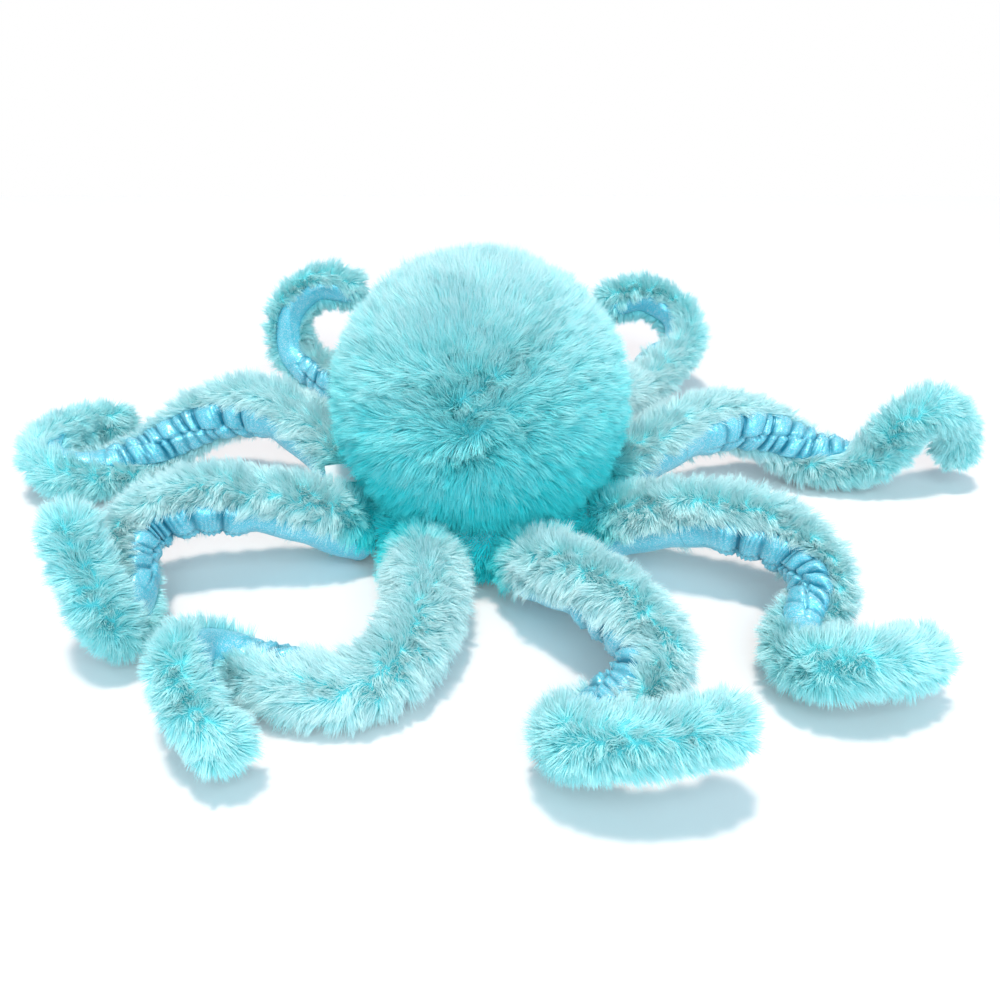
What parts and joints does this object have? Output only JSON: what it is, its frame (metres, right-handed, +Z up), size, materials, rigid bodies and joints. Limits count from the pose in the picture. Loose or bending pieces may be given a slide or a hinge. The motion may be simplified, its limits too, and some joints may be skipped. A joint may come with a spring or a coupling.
{
  "type": "plush octopus",
  "caption": "Shaggy plush octopus with a round body and long curling arms of pile and shimmering satin, each drawn up by an elastic.",
  "frame": {"origin": "on the floor, at the middle of the flat round that the body rests on", "axes": "+Z up; -Y towards the viewer's side of the picture; +X to the viewer's right"},
  "size_m": [0.7604, 0.6439, 0.217],
  "materials": {
    "fur": "long aqua pile, matt, with deeper teal at its roots",
    "satin": "light blue satin with a fine iridescent shimmer",
    "stuffing": "white polyester fibre",
    "elastic": "woven white elastic",
    "label": "plain woven tape"
  },
  "bodies": {
    "body": {"body_cover": "fur", "base_panel": "fur", "body_stuffing": "stuffing", "label": "label"},
    "front_right_arm_root": {"front_right_arm_root_fur": "fur", "front_right_arm_root_satin": "satin", "front_right_arm_root_stuffing": "stuffing", "front_right_arm_elastic": "elastic"},
    "front_right_arm_tip": {"front_right_arm_tip_fur": "fur", "front_right_arm_tip_satin": "satin", "front_right_arm_tip_stuffing": "stuffing"},
    "right_front_arm_root": {"right_front_arm_root_fur": "fur", "right_front_arm_root_satin": "satin", "right_front_arm_root_stuffing": "stuffing", "right_front_arm_elastic": "elastic"},
    "right_front_arm_tip": {"right_front_arm_tip_fur": "fur", "right_front_arm_tip_satin": "satin", "right_front_arm_tip_stuffing": "stuffing"},
    "right_rear_arm_root": {"right_rear_arm_root_fur": "fur", "right_rear_arm_root_satin": "satin", "right_rear_arm_root_stuffing": "stuffing", "right_rear_arm_elastic": "elastic"},
    "right_rear_arm_tip": {"right_rear_arm_tip_fur": "fur", "right_rear_arm_tip_satin": "satin", "right_rear_arm_tip_stuffing": "stuffing"},
    "rear_right_arm_root": {"rear_right_arm_root_fur": "fur", "rear_right_arm_root_satin": "satin", "rear_right_arm_root_stuffing": "stuffing", "rear_right_arm_elastic": "elastic"},
    "rear_right_arm_tip": {"rear_right_arm_tip_fur": "fur", "rear_right_arm_tip_satin": "satin", "rear_right_arm_tip_stuffing": "stuffing"},
    "rear_left_arm_root": {"rear_left_arm_root_fur": "fur", "rear_left_arm_root_satin": "satin", "rear_left_arm_root_stuffing": "stuffing", "rear_left_arm_elastic": "elastic"},
    "rear_left_arm_tip": {"rear_left_arm_tip_fur": "fur", "rear_left_arm_tip_satin": "satin", "rear_left_arm_tip_stuffing": "stuffing"},
    "left_rear_arm_root": {"left_rear_arm_root_fur": "fur", "left_rear_arm_root_satin": "satin", "left_rear_arm_root_stuffing": "stuffing", "left_rear_arm_elastic": "elastic"},
    "left_rear_arm_tip": {"left_rear_arm_tip_fur": "fur", "left_rear_arm_tip_satin": "satin", "left_rear_arm_tip_stuffing": "stuffing"},
    "left_front_arm_root": {"left_front_arm_root_fur": "fur", "left_front_arm_root_satin": "satin", "left_front_arm_root_stuffing": "stuffing", "left_front_arm_elastic": "elastic"},
    "left_front_arm_tip": {"left_front_arm_tip_fur": "fur", "left_front_arm_tip_satin": "satin", "left_front_arm_tip_stuffing": "stuffing"},
    "front_left_arm_root": {"front_left_arm_root_fur": "fur", "front_left_arm_root_satin": "satin", "front_left_arm_root_stuffing": "stuffing", "front_left_arm_elastic": "elastic"},
    "front_left_arm_tip": {"front_left_arm_tip_fur": "fur", "front_left_arm_tip_satin": "satin", "front_left_arm_tip_stuffing": "stuffing"}
  },
  "joints": [
    {"name": "front_right_arm_shoulder", "type": "hinge", "parent": "body", "child": "front_right_arm_root", "pos_m": [0.03827, -0.09239, 0.029], "axis": [-0.9239, -0.3827, 0], "range_deg": [-20, 20], "stiffness_Nm_per_rad": 0.5},
    {"name": "front_right_arm_elbow", "type": "hinge", "parent": "front_right_arm_root", "child": "front_right_arm_tip", "pos_m": [0.09222, -0.23778, 0.03068], "axis": [0.3738, -0.5715, 0.7305], "range_deg": [-20, 20], "stiffness_Nm_per_rad": 0.3},
    {"name": "right_front_arm_shoulder", "type": "hinge", "parent": "body", "child": "right_front_arm_root", "pos_m": [0.09239, -0.03827, 0.029], "axis": [-0.3827, -0.9239, 0], "range_deg": [-20, 20], "stiffness_Nm_per_rad": 0.5},
    {"name": "right_front_arm_elbow", "type": "hinge", "parent": "right_front_arm_root", "child": "right_front_arm_tip", "pos_m": [0.21994, -0.14334, 0.03319], "axis": [0.6795, -0.4471, 0.5817], "range_deg": [-20, 20], "stiffness_Nm_per_rad": 0.3},
    {"name": "right_rear_arm_shoulder", "type": "hinge", "parent": "body", "child": "right_rear_arm_root", "pos_m": [0.09239, 0.03827, 0.029], "axis": [0.3827, -0.9239, 0], "range_deg": [-20, 15], "stiffness_Nm_per_rad": 0.5},
    {"name": "right_rear_arm_elbow", "type": "hinge", "parent": "right_rear_arm_root", "child": "right_rear_arm_tip", "pos_m": [0.25082, 0.08498, 0.02985], "axis": [0.4006, 0.7647, 0.5047], "range_deg": [-20, 20], "stiffness_Nm_per_rad": 0.3},
    {"name": "rear_right_arm_shoulder", "type": "hinge", "parent": "body", "child": "rear_right_arm_root", "pos_m": [0.03827, 0.09239, 0.029], "axis": [0.9239, -0.3827, 0], "range_deg": [-20, 20], "stiffness_Nm_per_rad": 0.5},
    {"name": "rear_right_arm_elbow", "type": "hinge", "parent": "rear_right_arm_root", "child": "rear_right_arm_tip", "pos_m": [0.13555, 0.21814, 0.0251], "axis": [0.111, -0.0254, -0.9935], "range_deg": [-20, 20], "stiffness_Nm_per_rad": 0.3},
    {"name": "rear_left_arm_shoulder", "type": "hinge", "parent": "body", "child": "rear_left_arm_root", "pos_m": [-0.03827, 0.09239, 0.029], "axis": [0.9239, 0.3827, 0], "range_deg": [-20, 20], "stiffness_Nm_per_rad": 0.5},
    {"name": "rear_left_arm_elbow", "type": "hinge", "parent": "rear_left_arm_root", "child": "rear_left_arm_tip", "pos_m": [-0.11499, 0.23518, 0.02523], "axis": [0.2639, 0.2701, -0.926], "range_deg": [-20, 20], "stiffness_Nm_per_rad": 0.3},
    {"name": "left_rear_arm_shoulder", "type": "hinge", "parent": "body", "child": "left_rear_arm_root", "pos_m": [-0.09239, 0.03827, 0.029], "axis": [0.3827, 0.9239, 0], "range_deg": [-20, 10], "stiffness_Nm_per_rad": 0.5},
    {"name": "left_rear_arm_elbow", "type": "hinge", "parent": "left_rear_arm_root", "child": "left_rear_arm_tip", "pos_m": [-0.26694, 0.07684, 0.02675], "axis": [0.6048, -0.6449, -0.4672], "range_deg": [-20, 20], "stiffness_Nm_per_rad": 0.3},
    {"name": "left_front_arm_shoulder", "type": "hinge", "parent": "body", "child": "left_front_arm_root", "pos_m": [-0.09239, -0.03827, 0.029], "axis": [-0.3827, 0.9239, 0], "range_deg": [-20, 10], "stiffness_Nm_per_rad": 0.5},
    {"name": "left_front_arm_elbow", "type": "hinge", "parent": "left_front_arm_root", "child": "left_front_arm_tip", "pos_m": [-0.23326, -0.10956, 0.03886], "axis": [0.2634, 0.5125, -0.8173], "range_deg": [-20, 20], "stiffness_Nm_per_rad": 0.3},
    {"name": "front_left_arm_shoulder", "type": "hinge", "parent": "body", "child": "front_left_arm_root", "pos_m": [-0.03827, -0.09239, 0.029], "axis": [-0.9239, 0.3827, 0], "range_deg": [-20, 15], "stiffness_Nm_per_rad": 0.5},
    {"name": "front_left_arm_elbow", "type": "hinge", "parent": "front_left_arm_root", "child": "front_left_arm_tip", "pos_m": [-0.09546, -0.22323, 0.02307], "axis": [-0.0245, -0.0908, 0.9956], "range_deg": [-20, 20], "stiffness_Nm_per_rad": 0.3}
  ]
}
